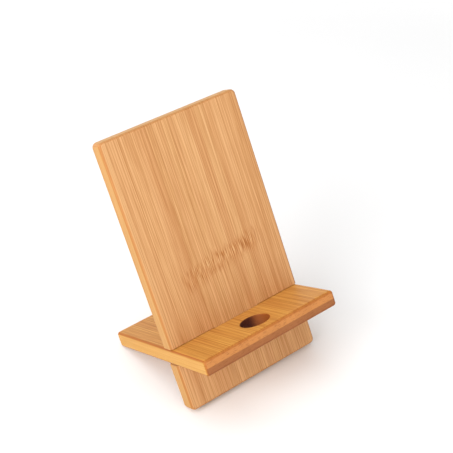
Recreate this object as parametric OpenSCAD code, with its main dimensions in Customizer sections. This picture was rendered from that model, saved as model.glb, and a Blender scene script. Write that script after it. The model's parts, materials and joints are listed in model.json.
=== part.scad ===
// Two-board phone stand: a leaning back board and a shelf board held together by a halved joint.
// Built in the row frame: Z up, floor at Z = 0, front toward -Y, origin at the middle of the footprint.

/* [Boards] */

// Width of both boards, side to side
board_w = 75; // [60:1:100]
// Thickness of both boards
board_t = 8; // [6:0.5:12]
// Back board from the middle of the joint up to its top edge
back_up = 105; // [80:1:150]
// Back board from the middle of the joint down to its bottom edge
back_down = 28; // [20:1:40]
// Shelf from the middle of the joint forward to its front edge
shelf_front = 33; // [32:1:50]
// Shelf from the middle of the joint back to the ends of its arms
shelf_rear = 55; // [40:1:75]

/* [Edges] */

// Rounding along the edges of the boards
edge_r = 1.5; // [1:0.25:2.75]
// Rounding along the front edge of the shelf
front_r = 2; // [1:0.25:2.75]
// Rounding of the back board's corners seen square on
back_corner_r = 2.5; // [1:0.5:8]
// Rounding of the shelf's corners seen square on
shelf_corner_r = 1.5; // [1:0.5:8]

/* [Joint] */

// Width of the neck left in the back board between its two notches
neck_w = 26; // [16:1:34]
// Clearance on each side of every sliding face
slide_gap = 0.15; // [0.05:0.05:0.4]

/* [Cable hole] */

// Diameter of the hole for a charging cable
hole_d = 14; // [8:0.5:15]
// Middle of the hole forward of the middle of the joint
hole_front = 20; // [15:0.5:21]

/* [Colours] */

// Bamboo of the back board
back_colour = "#d9a066";
// Bamboo of the shelf
shelf_colour = "#dca25c";

/* [Hidden] */

$fn = 96;

half_t = board_t / 2;
// The stand rests on the lower rear edges of both boards, which sets how far it leans.
lean = atan((back_down - half_t) / (shelf_rear - half_t));
// Height of the middle of the joint with both boards on the floor
joint_z = edge_r + (half_t - edge_r) * sin(lean) + (back_down - edge_r) * cos(lean);
// Reach of the stand to the front and to the back of the joint, and the joint's place between them
reach_front = front_r + (half_t - front_r) * sin(lean) + (shelf_front - front_r) * cos(lean);
reach_arms = edge_r + (half_t - edge_r) * sin(lean) + (shelf_rear - edge_r) * cos(lean);
reach_top = edge_r + (half_t - edge_r) * cos(lean) + (back_up - edge_r) * sin(lean);
joint_y = (reach_front - max(reach_arms, reach_top)) / 2;

// Sizes of the cuts
notch_deep = (board_w - neck_w) / 2;
notch_high = board_t + 2 * slide_gap;
slot_w = neck_w + 2 * slide_gap;
slot_end = half_t + slide_gap;
over = 1;

// Rectangle from (x0, y0) to (x1, y1); its corners have radius r0 at the y0 end and r1 at the y1 end
module soft_rect(x0, x1, y0, y1, r0, r1) {
    big = max(r0, r1);
    translate([x0 + big, y0]) square([x1 - x0 - 2 * big, y1 - y0]);
    translate([x0, y0 + r0]) square([x1 - x0, y1 - y0 - r0 - r1]);
    for (x = [x0 + r0, x1 - r0]) translate([x, y0 + r0]) circle(r0);
    for (x = [x0 + r1, x1 - r1]) translate([x, y1 - r1]) circle(r1);
    translate([x0 + r0, y0]) square([x1 - x0 - 2 * r0, big]);
    translate([x0 + r1, y1 - big]) square([x1 - x0 - 2 * r1, big]);
}

// Board lying flat: thickness on Z, from y0 (edge radius r0) to y1 (edge radius r1) along Y
module board(y0, y1, r0, r1, corner_r) {
    intersection() {
        linear_extrude(board_t, center = true)
            soft_rect(-board_w / 2, board_w / 2, y0, y1, corner_r, corner_r);
        rotate([90, 0, 0])
            linear_extrude(4 * (y1 - y0), center = true)
                soft_rect(-board_w / 2, board_w / 2, -half_t, half_t, edge_r, edge_r);
        rotate([90, 0, 0]) rotate([0, 90, 0])
            linear_extrude(2 * board_w, center = true)
                rotate(90) soft_rect(-half_t, half_t, -y1, -y0, r1, r0);
    }
}

// Carries a piece from the joint's own frame to its place in the stand
module lean_back() {
    translate([0, joint_y, joint_z]) rotate([-lean, 0, 0]) children();
}

// Upright board with a notch cut in from each side at the joint
module back_board() {
    color(back_colour)
        lean_back()
            difference() {
                rotate([90, 0, 0]) board(-back_down, back_up, edge_r, edge_r, back_corner_r);
                for (side = [-1, 1])
                    translate([side * (neck_w / 2 + notch_deep), 0, 0])
                        cube([2 * notch_deep, board_t + 2 * over, notch_high], center = true);
            }
}

// Board that crosses it: ledge with the cable hole in front, slot between two arms behind
module shelf_board() {
    color(shelf_colour)
        lean_back()
            difference() {
                board(-shelf_front, shelf_rear, front_r, edge_r, shelf_corner_r);
                translate([-slot_w / 2, -slot_end, -half_t - over])
                    cube([slot_w, shelf_rear + slot_end + over, board_t + 2 * over]);
                translate([0, -hole_front, 0])
                    cylinder(h = board_t + 2 * over, d = hole_d, center = true);
            }
}

back_board();
shelf_board();
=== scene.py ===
"""Looks of a two-board bamboo phone stand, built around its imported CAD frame.

Metres, +Z up, front toward -Y.
"""
import json
import math

import bmesh
import bpy
from mathutils import Matrix, Vector


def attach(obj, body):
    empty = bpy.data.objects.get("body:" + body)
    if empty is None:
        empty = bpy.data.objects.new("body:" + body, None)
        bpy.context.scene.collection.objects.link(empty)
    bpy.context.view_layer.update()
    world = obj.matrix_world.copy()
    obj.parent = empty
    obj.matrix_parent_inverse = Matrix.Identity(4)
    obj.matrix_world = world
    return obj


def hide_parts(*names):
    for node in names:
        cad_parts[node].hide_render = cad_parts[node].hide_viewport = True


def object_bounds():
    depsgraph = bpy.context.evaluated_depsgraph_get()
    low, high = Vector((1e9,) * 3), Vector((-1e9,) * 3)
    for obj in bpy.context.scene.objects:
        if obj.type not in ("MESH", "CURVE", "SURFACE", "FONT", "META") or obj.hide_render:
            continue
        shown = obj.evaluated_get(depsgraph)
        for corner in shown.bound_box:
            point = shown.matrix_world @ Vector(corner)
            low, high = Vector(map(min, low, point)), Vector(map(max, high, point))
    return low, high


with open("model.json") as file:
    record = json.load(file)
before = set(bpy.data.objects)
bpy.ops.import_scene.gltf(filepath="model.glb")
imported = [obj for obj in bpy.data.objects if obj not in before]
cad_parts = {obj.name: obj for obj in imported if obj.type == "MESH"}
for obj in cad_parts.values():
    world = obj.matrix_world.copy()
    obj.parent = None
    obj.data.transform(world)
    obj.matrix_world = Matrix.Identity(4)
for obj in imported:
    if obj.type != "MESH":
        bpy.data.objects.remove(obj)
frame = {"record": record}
cad_low, cad_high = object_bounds()

# ---------------------------------------------------------------- driving sizes, the same as the CAD part's
MM = 0.001
BOARD_T = 8 * MM
BACK_UP, BACK_DOWN = 105 * MM, 28 * MM
SHELF_FRONT, SHELF_REAR = 33 * MM, 55 * MM
EDGE_R, FRONT_R = 1.5 * MM, 2 * MM
BACK_CORNER_R, SHELF_CORNER_R = 2.5 * MM, 1.5 * MM
NECK_W = 26 * MM
SLIDE_GAP = 0.15 * MM
HOLE_FRONT = 20 * MM
HALF_T = BOARD_T / 2

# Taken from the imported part: its width, how far it leans, its hole and the middle of its joint
record = frame["record"]
BOARD_W = cad_high.x - cad_low.x
hole = next(m for m in record["mounts"] if m["name"] == "cable_hole")
HOLE_R = hole["dims"]["r_mm"] * MM
up_through_shelf = Vector(hole["axis"])
LEAN = math.atan2(up_through_shelf.y, up_through_shelf.z)
to_front = Vector((0, -math.cos(LEAN), math.sin(LEAN)))
joint_middle = Vector(hole["pos_m"]) - to_front * HOLE_FRONT

# How finely the round edges are divided
EDGE_STEPS = 10
CORNER_STEPS = 14
HOLE_STEPS = 96
EASE_STEPS = 6
# Least rounding kept at a corner, so that an outline never folds over itself
LEAST_R = 0.15 * MM
# How far a cutter reaches past the wood
OVER = 1 * MM
# Small roundings that a cutter and sandpaper leave
CUT_BEVEL = 0.2 * MM
CUT_BEVEL_STEPS = 3
HOLE_EASE = 0.6 * MM
# Edges sharper than these are bevelled, and shaded as sharp
BEVEL_ANGLE, SHARP_ANGLE = math.radians(40), math.radians(45)


# ---------------------------------------------------------------- board meshes
# Each board is built flat in its own space: X across, Y along the grain, Z through its thickness.
def inset_at(z, radius):
    """How far an edge of this rounding has drawn in at height z of the board."""
    beyond = abs(z) - (HALF_T - radius)
    return 0.0 if beyond <= 0 else radius - math.sqrt(max(radius * radius - beyond * beyond, 0.0))


def outline(z, y0, y1, r0, r1, corner_r):
    """Points round the board at height z; the y0 end is rounded by r0, the y1 end by r1."""
    side, near, far = inset_at(z, EDGE_R), inset_at(z, r0), inset_at(z, r1)
    x = BOARD_W / 2 - side
    points = []
    corners = ((1, y1, far, 0), (-1, y1, far, 90), (-1, y0, near, 180), (1, y0, near, 270))
    for sign_x, end, inset, start in corners:
        sign_y = 1 if end == y1 else -1
        rx, ry = max(corner_r - side, LEAST_R), max(corner_r - inset, LEAST_R)
        cx, cy = sign_x * (x - rx), end - sign_y * (inset + ry)
        for k in range(CORNER_STEPS + 1):
            a = math.radians(start + 90 * k / CORNER_STEPS)
            points.append((cx + rx * math.cos(a), cy + ry * math.sin(a), z))
    return points


def mesh_from_rings(name, rings):
    """Closed mesh through rings of equal length, with a flat cap on the first and the last."""
    bm = bmesh.new()
    loops = [[bm.verts.new(p) for p in ring] for ring in rings]
    count = len(rings[0])
    for low, high in zip(loops, loops[1:]):
        for i in range(count):
            j = (i + 1) % count
            bm.faces.new((low[i], low[j], high[j], high[i]))
    bm.faces.new(loops[0][::-1])
    bm.faces.new(loops[-1])
    bmesh.ops.recalc_face_normals(bm, faces=bm.faces)
    mesh = bpy.data.meshes.new(name)
    bm.to_mesh(mesh)
    bm.free()
    return mesh


def rounded_board(name, y0, y1, r0, r1, corner_r):
    """Uncut board from y0 to y1, its ends rounded by r0 and r1 and its sides by EDGE_R."""
    largest = max(EDGE_R, r0, r1)
    steps = [math.radians(90 * k / EDGE_STEPS) for k in range(EDGE_STEPS + 1)]
    upper = [HALF_T - largest * (1 - math.sin(a)) for a in steps]
    heights = [-z for z in reversed(upper)] + upper
    return mesh_from_rings(name, [outline(z, y0, y1, r0, r1, corner_r) for z in heights])


def box_cutter(low, high):
    """Block between two opposite corners."""
    rings = [
        [(low[0], low[1], z), (high[0], low[1], z), (high[0], high[1], z), (low[0], high[1], z)]
        for z in (low[2], high[2])
    ]
    return mesh_from_rings("cutter", rings)


def hole_cutter(y):
    """Round cutter through the board at y, flared where it meets each face so that the rim is eased."""
    flare = [math.radians(90 * k / EASE_STEPS) for k in range(EASE_STEPS + 1)]
    ease = [
        (HALF_T - HOLE_EASE * (1 - math.sin(a)), HOLE_R + HOLE_EASE * (1 - math.cos(a)))
        for a in flare
    ]
    upper = ease + [(HALF_T + OVER, HOLE_R + HOLE_EASE)]
    profile = [(-z, r) for z, r in reversed(upper)] + upper
    turn = [2 * math.pi * k / HOLE_STEPS for k in range(HOLE_STEPS)]
    rings = [[(r * math.cos(a), y + r * math.sin(a), z) for a in turn] for z, r in profile]
    return mesh_from_rings("cutter", rings)


def applied(obj):
    """The object's mesh with its modifiers applied."""
    depsgraph = bpy.context.evaluated_depsgraph_get()
    return bpy.data.meshes.new_from_object(obj.evaluated_get(depsgraph), depsgraph=depsgraph)


def cut_board(name, board, cutters):
    """Cuts the board, then softens the sharp edges the cuts leave."""
    piece = bpy.data.objects.new(name, board)
    bpy.context.collection.objects.link(piece)
    tools = []
    for cutter in cutters:
        tool = bpy.data.objects.new("cutter", cutter)
        bpy.context.collection.objects.link(tool)
        cut = piece.modifiers.new("cut", "BOOLEAN")
        cut.operation, cut.solver, cut.object = "DIFFERENCE", "EXACT", tool
        tools.append(tool)
    soften = piece.modifiers.new("soften", "BEVEL")
    soften.limit_method, soften.angle_limit = "ANGLE", BEVEL_ANGLE
    soften.width, soften.segments = CUT_BEVEL, CUT_BEVEL_STEPS
    mesh = applied(piece)
    piece.modifiers.clear()
    piece.data = mesh
    for tool in tools:
        bpy.data.objects.remove(tool)
    return piece


def place_board(piece, turn):
    """Keeps each point's place in the board for the wood, then puts the board in the stand."""
    mesh = piece.data
    wood = mesh.attributes.new("board_place", "FLOAT_VECTOR", "POINT")
    for vertex, item in zip(mesh.vertices, wood.data):
        item.vector = vertex.co
    lean = Matrix.Translation(joint_middle) @ Matrix.Rotation(-LEAN, 4, "X")
    mesh.transform(lean @ turn)
    for face in mesh.polygons:
        face.use_smooth = True
    mesh.set_sharp_from_angle(angle=SHARP_ANGLE)
    shade = piece.modifiers.new("even_shading", "WEIGHTED_NORMAL")
    shade.keep_sharp = True


def make_back_board():
    """Upright board with a notch cut in from each side at the joint."""
    board = rounded_board("back_board_bamboo", -BACK_DOWN, BACK_UP, EDGE_R, EDGE_R, BACK_CORNER_R)
    high = HALF_T + SLIDE_GAP
    notches = [
        box_cutter(
            (min(side * NECK_W / 2, side * BOARD_W), -high, -HALF_T - OVER),
            (max(side * NECK_W / 2, side * BOARD_W), high, HALF_T + OVER),
        )
        for side in (-1, 1)
    ]
    piece = cut_board("back_board_bamboo", board, notches)
    place_board(piece, Matrix.Rotation(math.radians(90), 4, "X"))
    return piece


def make_shelf_board():
    """Ledge with the cable hole in front and a slot between two arms behind."""
    board = rounded_board("shelf_board_bamboo", -SHELF_FRONT, SHELF_REAR, FRONT_R, EDGE_R, SHELF_CORNER_R)
    half = NECK_W / 2 + SLIDE_GAP
    slot = box_cutter(
        (-half, -HALF_T - SLIDE_GAP, -HALF_T - OVER),
        (half, SHELF_REAR + OVER, HALF_T + OVER),
    )
    piece = cut_board("shelf_board_bamboo", board, [hole_cutter(-HOLE_FRONT), slot])
    place_board(piece, Matrix.Identity(4))
    return piece


# ---------------------------------------------------------------- bamboo
# Width of one glued strip and of one bundle of fibres in it, in mm
STRIP_W = 4.6
BUNDLE_W = 1.2
# How unequal the strips are in width, from 0 to 1
STRIP_VARIETY = 0.7
# How fast each layer of fibres changes across the board, along its grain and through it, per mm
SWAY, BROAD = (0.03, 0.012, 0.03), (0.16, 0.007, 0.16)
LINES, HAIR = (2.5, 0.012, 2.3), (4.2, 0.07, 4.0)
SEAMS_SHOWN, VESSELS = (0.6, 0.018, 0.6), (3.2, 0.016, 3.0)
END_BUNDLES = (0.35, 0.03, 2.2)
# Bare wood's shine, and how deep its grain is felt
ROUGHNESS = (0.50, 0.70)
WOOD_IOR, WOOD_SPECULAR = 1.45, 0.28
GRAIN_STRENGTH, GRAIN_DEPTH = 0.30, 0.04 * MM
# Joint marks: how far their starts wander, in mm, how deep they are cut, and their streaks and patches
MARK_WANDER, MARK_CUT = 9.0, 0.08
MARK_STARTS, MARK_STREAKS = (1.1, 0.0, 0.6), (2.6, 0.13, 2.0)
MARK_PATCHES = (0.16, 0.16, 0.3)
# Colours that both boards share
PINK_STRIP = "#f6e4e2"
VESSEL = "#a4642f"
JOINT_MARK, JOINT_STAIN, JOINT_PALE = "#9c5820", "#bc763a", "#e3ba84"
# Painted shade inside the cable hole, and the lighter colour painted on its right-hand wall as if lit by
# the lamp on the left
HOLE_SHADE, HOLE_LIT_WALL = "#390a02", "#96501f"


class Nodes:
    """Short calls for the nodes of a material or a world."""

    def __init__(self, owner):
        owner.use_nodes = True
        self.tree = owner.node_tree
        self.tree.nodes.clear()

    def add(self, kind, **values):
        node = self.tree.nodes.new("ShaderNode" + kind)
        for key, value in values.items():
            setattr(node, key, value)
        return node

    def feed(self, socket, value):
        if isinstance(value, bpy.types.NodeSocket):
            self.tree.links.new(value, socket)
        elif value is not None:
            socket.default_value = value

    def math(self, operation, a, b=None, c=None):
        node = self.add("Math", operation=operation)
        for socket, value in zip(node.inputs, (a, b, c)):
            self.feed(socket, value)
        return node.outputs[0]

    def scaled(self, place, scale, shift=(0, 0, 0)):
        """place times scale plus shift, each axis on its own."""
        node = self.add("VectorMath", operation="MULTIPLY_ADD")
        self.feed(node.inputs[0], place)
        node.inputs[1].default_value = scale
        node.inputs[2].default_value = shift
        return node.outputs[0]

    def noise(self, place, detail=2.0, roughness=0.5):
        node = self.add("TexNoise", noise_dimensions="3D")
        self.feed(node.inputs["Vector"], place)
        node.inputs["Scale"].default_value = 1.0
        node.inputs["Detail"].default_value = detail
        node.inputs["Roughness"].default_value = roughness
        return node.outputs["Fac"]

    def split(self, place):
        node = self.add("SeparateXYZ")
        self.feed(node.inputs[0], place)
        return node.outputs[0], node.outputs[1], node.outputs[2]

    def join(self, x, y, z):
        node = self.add("CombineXYZ")
        for socket, value in zip(node.inputs, (x, y, z)):
            self.feed(socket, value)
        return node.outputs[0]

    def facing(self, normal, direction):
        """How squarely the surface faces along a direction, from 0 to 1."""
        node = self.add("VectorMath", operation="DOT_PRODUCT")
        self.feed(node.inputs[0], normal)
        node.inputs[1].default_value = direction
        return self.math("ABSOLUTE", node.outputs["Value"])

    def strips(self, x, width, feature):
        """Strips of about this width side by side along x."""
        node = self.add("TexVoronoi", voronoi_dimensions="1D", feature=feature)
        self.feed(node.inputs["W"], x)
        node.inputs["Scale"].default_value = 1 / width
        node.inputs["Randomness"].default_value = STRIP_VARIETY
        return node

    def strip_values(self, x, width):
        """Two random values for the strip at x."""
        node = self.add("SeparateColor")
        self.feed(node.inputs[0], self.strips(x, width, "F1").outputs["Color"])
        return node.outputs[0], node.outputs[1]

    def strip_edge(self, x, width):
        """How far x is from the nearest edge of a strip, in strip widths."""
        return self.strips(x, width, "DISTANCE_TO_EDGE").outputs["Distance"]

    def weighted(self, *parts):
        """Sum of values, each times its weight."""
        total = 0.0
        for value, weight in parts:
            total = self.math("MULTIPLY_ADD", value, weight, total)
        return total

    def spread(self, value, low, high, to_low=0.0, to_high=1.0):
        """Passes smoothly from to_low to to_high as value goes from low to high."""
        node = self.add("MapRange", interpolation_type="SMOOTHSTEP")
        self.feed(node.inputs["Value"], value)
        numbers = {"From Min": low, "From Max": high, "To Min": to_low, "To Max": to_high}
        for key, number in numbers.items():
            node.inputs[key].default_value = number
        return node.outputs["Result"]

    def ramp(self, value, stops):
        node = self.add("ValToRGB")
        elements = node.color_ramp.elements
        while len(elements) < len(stops):
            elements.new(0.5)
        for element, (at, colour) in zip(elements, stops):
            element.position = at
            element.color = (*linear(colour), 1)
        self.feed(node.inputs["Fac"], value)
        return node.outputs["Color"]

    def mix(self, factor, a, b, blend="MIX"):
        node = self.add("Mix", data_type="RGBA", blend_type=blend)
        pairs = ((node.inputs["Factor"], factor), (node.inputs[6], a), (node.inputs[7], b))
        for socket, value in pairs:
            self.feed(socket, (*linear(value), 1) if isinstance(value, str) else value)
        return node.outputs[2]


def linear(code):
    """Scene colour of a web colour such as #d9a066."""
    parts = [int(code[i:i + 2], 16) / 255 for i in (1, 3, 5)]
    return [p / 12.92 if p <= 0.04045 else ((p + 0.055) / 1.055) ** 2.4 for p in parts]


def bamboo(name, grain, seed, face, side, end, edge_tint, edge_strength, band=None, shaded_hole=None):
    """Strip-glued bamboo with its grain along board Y; grain is that direction in the stand.

    face is (light, middle, dark) wood, side is (light, dark), and end is (light, dark) of the upper
    ply's end grain and the same of the lower ply's; on the shelf the lower ply's darker pair also paints
    the shade on the lower half of its front edge. band is (middle x, y there, rise per mm of x, half
    width in x) of a row of joint marks, and shaded_hole is (y, radius) of a hole whose inside is
    painted with shade, lighter on its right-hand wall as if lit from the left, all in mm.
    """
    material = bpy.data.materials.new(name)
    n = Nodes(material)
    attribute = n.add("Attribute", attribute_name="board_place")
    place = n.scaled(attribute.outputs["Vector"], (1 / MM,) * 3)
    x, y, z = n.split(place)

    # Fibres wander a little from side to side along the board
    sway = n.noise(n.scaled(place, SWAY, (seed, 0, 0)), 1.0)
    straight_x = n.math("ADD", x, n.math("MULTIPLY", sway, 0.9))
    fibre = n.join(
        n.math("ADD", straight_x, seed),
        n.math("ADD", y, seed * 3.7),
        n.math("ADD", z, seed * 1.9),
    )
    # Glued strips, each with a tone and a hue of its own
    strip_x = n.math("ADD", straight_x, 200 + seed)
    tone_of_strip, hue_of_strip = n.strip_values(strip_x, STRIP_W)
    glue_line = n.spread(n.strip_edge(strip_x, STRIP_W), 0.0, 0.04, 1.0, 0.0)

    # Fibres, all long in Y: broad bands, fine lines and hair lines
    broad = n.spread(n.noise(n.scaled(fibre, BROAD), 1.0), 0.3, 0.7)
    lines = n.spread(n.noise(n.scaled(fibre, LINES), 2.0, 0.6), 0.32, 0.68)
    hair = n.spread(n.noise(n.scaled(fibre, HAIR), 2.0, 0.6), 0.3, 0.7)
    tone = n.weighted((tone_of_strip, 0.14), (broad, 0.10), (lines, 0.40), (hair, 0.26))
    colour = n.ramp(tone, [(0.15, face[0]), (0.5, face[1]), (0.88, face[2])])
    colour = n.mix(n.math("MULTIPLY", hue_of_strip, 0.35), colour, PINK_STRIP, "MULTIPLY")
    # Dark lines between bundles, sparse darker vessels and the glue between strips
    bundle_x = n.math("ADD", strip_x, n.math("MULTIPLY", sway, 1.5))
    seam = n.spread(n.strip_edge(bundle_x, BUNDLE_W), 0.0, 0.26, 1.0, 0.0)
    shown = n.spread(n.noise(n.scaled(fibre, SEAMS_SHOWN, (5, 2, 8)), 1.0), 0.36, 0.56)
    seam = n.math("MULTIPLY", seam, shown)
    colour = n.mix(n.math("MULTIPLY", seam, 0.40), colour, VESSEL)
    vessel = n.spread(n.noise(n.scaled(fibre, VESSELS, (7, 3, 5)), 1.0), 0.60, 0.74)
    colour = n.mix(n.math("MULTIPLY", vessel, 0.34), colour, VESSEL)
    colour = n.mix(n.math("MULTIPLY", glue_line, 0.20), colour, VESSEL)

    # Which way the surface faces: along the grain, across the board or out of its face
    normal = n.add("NewGeometry").outputs["Normal"]
    along = n.facing(normal, grain)
    across = n.facing(normal, Vector((1, 0, 0)))
    through = n.facing(normal, grain.cross(Vector((1, 0, 0))))
    colour = n.mix(n.spread(across, 0.6, 0.98), colour, n.mix(tone, *side))

    # End grain: short streaks across the board, in an upper and a lower ply. Where the lower ply is given
    # darker colours, as on the shelf, they paint the shade on the lower half of the front edge
    bundles = n.add("TexVoronoi", voronoi_dimensions="3D", feature="F1")
    n.feed(bundles.inputs["Vector"], n.scaled(fibre, END_BUNDLES))
    bundles.inputs["Scale"].default_value = 1.0
    streaks = n.spread(bundles.outputs["Distance"], 0.16, 0.42, 1.0, 0.0)
    end_tone = n.weighted((streaks, 0.5), (hair, 0.3), (tone_of_strip, 0.2))
    upper_ply = n.spread(z, -0.25, 0.25)
    end_grain_and_shade = n.mix(upper_ply, n.mix(end_tone, *end[2:]), n.mix(end_tone, *end[:2]))
    endness = n.spread(along, 0.5, 0.9)
    colour = n.mix(endness, colour, end_grain_and_shade)
    # Rounded edges are burnished darker by the cutter
    squareness = n.math("MAXIMUM", n.math("MAXIMUM", along, across), through)
    edge = n.spread(squareness, 0.84, 0.998, 1.0, 0.0)
    edge = n.math("MULTIPLY", edge, n.spread(along, 0.1, 0.8, 1.0, 0.6))
    colour = n.mix(n.math("MULTIPLY", edge, edge_strength), colour, edge_tint, "MULTIPLY")

    height = n.weighted((lines, 0.4), (hair, 0.4), (vessel, -0.4), (seam, -0.3), (glue_line, -0.2))
    if band:
        colour, height = joint_marks(n, place, colour, height, band)
    # Paints shade inside the cable hole, lighter on its right-hand wall as if lit from the left
    if shaded_hole:
        colour = painted_hole_shade(n, x, y, hair, colour, shaded_hole)

    bump = n.add("Bump")
    bump.inputs["Strength"].default_value = GRAIN_STRENGTH
    bump.inputs["Distance"].default_value = GRAIN_DEPTH
    n.feed(bump.inputs["Height"], height)
    shader = n.add("BsdfPrincipled")
    n.feed(shader.inputs["Base Color"], colour)
    n.feed(shader.inputs["Roughness"], n.spread(n.math("ADD", tone, endness), 0.2, 1.6, *ROUGHNESS))
    n.feed(shader.inputs["Normal"], bump.outputs["Normal"])
    shader.inputs["IOR"].default_value = WOOD_IOR
    shader.inputs["Specular IOR Level"].default_value = WOOD_SPECULAR
    out = n.add("OutputMaterial")
    n.feed(out.inputs["Surface"], shader.outputs["BSDF"])
    return material


def joint_marks(n, place, colour, height, band):
    """The cane's own joints: a ragged belt of fine streaks along the grain, on the front face only."""
    middle_x, top_y, rise, half_width = band
    x, y, z = n.split(place)
    from_middle = n.math("SUBTRACT", x, middle_x)
    level = n.math("MULTIPLY_ADD", from_middle, rise, top_y)
    start = n.noise(n.scaled(place, MARK_STARTS, (4, 1, 6)), 2.0)
    top = n.math("MULTIPLY_ADD", n.math("SUBTRACT", start, 0.5), MARK_WANDER, level)
    below = n.math("SUBTRACT", top, y)
    within = n.spread(n.math("ABSOLUTE", from_middle), half_width * 0.6, half_width, 1.0, 0.0)
    reach = n.math("MULTIPLY", n.spread(below, -2.0, 1.5), n.spread(below, 3.5, 12.0, 1.0, 0.0))
    reach = n.math("MULTIPLY", reach, n.math("MULTIPLY", within, n.spread(z, 2.0, 3.5)))
    streaks = n.noise(n.scaled(place, MARK_STREAKS), 1.0, 0.5)
    patches = n.spread(n.noise(n.scaled(place, MARK_PATCHES, (3, 9, 2)), 1.0), 0.34, 0.60)
    stain = n.math("MULTIPLY", reach, n.math("MULTIPLY_ADD", patches, 0.25, 0.22))
    colour = n.mix(stain, colour, JOINT_STAIN)
    pale = n.math("MULTIPLY", reach, n.spread(streaks, 0.34, 0.46, 0.60, 0.0))
    colour = n.mix(pale, colour, JOINT_PALE)
    darkness = n.math("MULTIPLY_ADD", patches, 0.35, 0.50)
    dark = n.math("MULTIPLY", n.spread(streaks, 0.48, 0.62), darkness)
    marks = n.math("MULTIPLY", reach, dark)
    colour = n.mix(marks, colour, JOINT_MARK)
    return colour, n.math("SUBTRACT", height, n.math("MULTIPLY", marks, MARK_CUT))


def painted_hole_shade(n, x, y, hair, colour, shaded_hole):
    """Painted shade inside the hole and on its eased rim, darkest on the left, with its right-hand wall
    painted lighter as if lit by the lamp on the left.
    """
    hole_y, radius = shaded_hole
    reach_x = n.math("POWER", x, 2.0)
    reach_y = n.math("POWER", n.math("SUBTRACT", y, hole_y), 2.0)
    from_axis = n.math("SQRT", n.math("ADD", reach_x, reach_y))
    in_hole_shade = n.spread(from_axis, radius + 0.1, radius + 0.6, 1.0, 0.0)
    # The right-hand wall is painted lighter, as if lit by the lamp on the left
    lit_wall = n.weighted((n.spread(x, 0.1 * radius, 0.8 * radius), 0.8), (hair, 0.2))
    return n.mix(in_hole_shade, colour, n.mix(lit_wall, HOLE_SHADE, HOLE_LIT_WALL))


# ---------------------------------------------------------------- the stand
back_board = make_back_board()
shelf_board = make_shelf_board()

back_grain = Vector((0, math.sin(LEAN), math.cos(LEAN)))
back_board.data.materials.append(
    bamboo(
        "bamboo_back", back_grain, 11.0,
        face=("#dcab76", "#cb9761", "#b27642"),
        side=("#c8985a", "#b07c40"),
        end=("#cf9f6b", "#b58650", "#cf9f6b", "#b58650"),
        edge_tint="#cfa048", edge_strength=0.6,
        band=(3.0, 37.0, 0.16, 27.0),
    )
)
shelf_board.data.materials.append(
    bamboo(
        "bamboo_shelf", to_front, 47.0,
        face=("#d9a350", "#c68a3f", "#a46527"),
        side=("#d2a054", "#b47c32"),
        # The lower ply's darker pair paints the shade on the lower half of the shelf's front edge
        end=("#d08b4b", "#a26234", "#a6683c", "#895028"),
        edge_tint="#cb982a", edge_strength=0.85,
        # Inside of the cable hole painted with shade
        shaded_hole=(-HOLE_FRONT / MM, HOLE_R / MM),
    )
)

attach(back_board, "back")
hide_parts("back_board")
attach(shelf_board, "shelf")
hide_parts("shelf_board")


# ---------------------------------------------------------------- floor, light and camera
# Half the floor's width, and the distances between which it fades into an even white, in metres
FLOOR_HALF = 6.0
FLOOR_FADE = (0.35, 1.0)
FLOOR_COLOUR, FLOOR_ROUGHNESS = (0.92, 0.92, 0.92, 1), 0.9
WHITE = (1, 1, 1, 1)
# Strength of the white walls and of the dimmer ceiling, and how high up one passes into the other
WALLS, CEILING = 1.15, 0.5
CEILING_STARTS = (0.25, 0.6)
# What the lamps point at
MIDDLE = (0, 0, 0.06)
# Width of the camera's sensor, in mm
SENSOR_WIDTH = 36


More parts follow.
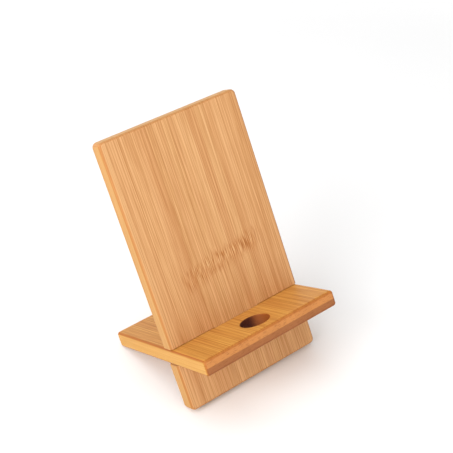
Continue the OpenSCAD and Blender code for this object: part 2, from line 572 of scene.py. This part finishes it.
def plain_floor():
    """Pale floor that fades into an even white away from the stand."""
    mesh = bpy.data.meshes.new("floor")
    s = FLOOR_HALF
    mesh.from_pydata([(-s, -s, 0), (s, -s, 0), (s, s, 0), (-s, s, 0)], [], [(0, 1, 2, 3)])
    floor = bpy.data.objects.new("floor", mesh)
    bpy.context.collection.objects.link(floor)
    material = bpy.data.materials.new("pale_floor")
    n = Nodes(material)
    far = n.add("VectorMath", operation="LENGTH")
    n.feed(far.inputs[0], n.add("NewGeometry").outputs["Position"])
    shader = n.add("BsdfPrincipled")
    shader.inputs["Base Color"].default_value = FLOOR_COLOUR
    shader.inputs["Roughness"].default_value = FLOOR_ROUGHNESS
    shader.inputs["Emission Color"].default_value = WHITE
    n.feed(shader.inputs["Emission Strength"], n.spread(far.outputs["Value"], *FLOOR_FADE))
    out = n.add("OutputMaterial")
    n.feed(out.inputs["Surface"], shader.outputs["BSDF"])
    mesh.materials.append(material)


def soft_light(name, place, size, watts):
    """Round white lamp aimed at the middle of the stand."""
    data = bpy.data.lights.new(name, "AREA")
    data.shape, data.size, data.energy = "DISK", size, watts
    lamp = bpy.data.objects.new(name, data)
    lamp.location = place
    lamp.rotation_euler = (Vector(MIDDLE) - Vector(place)).to_track_quat("-Z", "Y").to_euler()
    bpy.context.collection.objects.link(lamp)


def set_world():
    """White walls all round and a dimmer ceiling."""
    world = bpy.data.worlds.new("studio")
    n = Nodes(world)
    height = n.split(n.add("TexCoord").outputs["Generated"])[2]
    studio = n.add("Background")
    studio.inputs["Color"].default_value = WHITE
    n.feed(studio.inputs["Strength"], n.spread(height, *CEILING_STARTS, WALLS, CEILING))
    n.feed(n.add("OutputWorld").inputs["Surface"], studio.outputs["Background"])
    bpy.context.scene.world = world


def place_camera(place, aim, roll_degrees, lens):
    """Camera at place, looking at aim and rolled clockwise."""
    data = bpy.data.cameras.new("camera")
    data.lens, data.sensor_width = lens, SENSOR_WIDTH
    data.clip_start, data.clip_end = 0.01, 50
    camera = bpy.data.objects.new("camera", data)
    look = (Vector(aim) - Vector(place)).to_track_quat("-Z", "Y").to_matrix().to_4x4()
    roll = Matrix.Rotation(math.radians(-roll_degrees), 4, "Z")
    camera.matrix_world = Matrix.Translation(place) @ look @ roll
    bpy.context.collection.objects.link(camera)
    bpy.context.scene.camera = camera


plain_floor()
set_world()
soft_light("key_left", place=(-0.95, -0.22, 0.65), size=0.8, watts=8.3)
soft_light("fill_top", place=(-0.2, 0.05, 1.2), size=1.4, watts=7.0)
place_camera(
    place=(-0.21046, -0.31142, 0.34991),
    aim=(0.00853, 0.00354, 0.07190),
    roll_degrees=3.83,
    lens=80.78,
)
bpy.context.scene.view_settings.view_transform = "Standard"
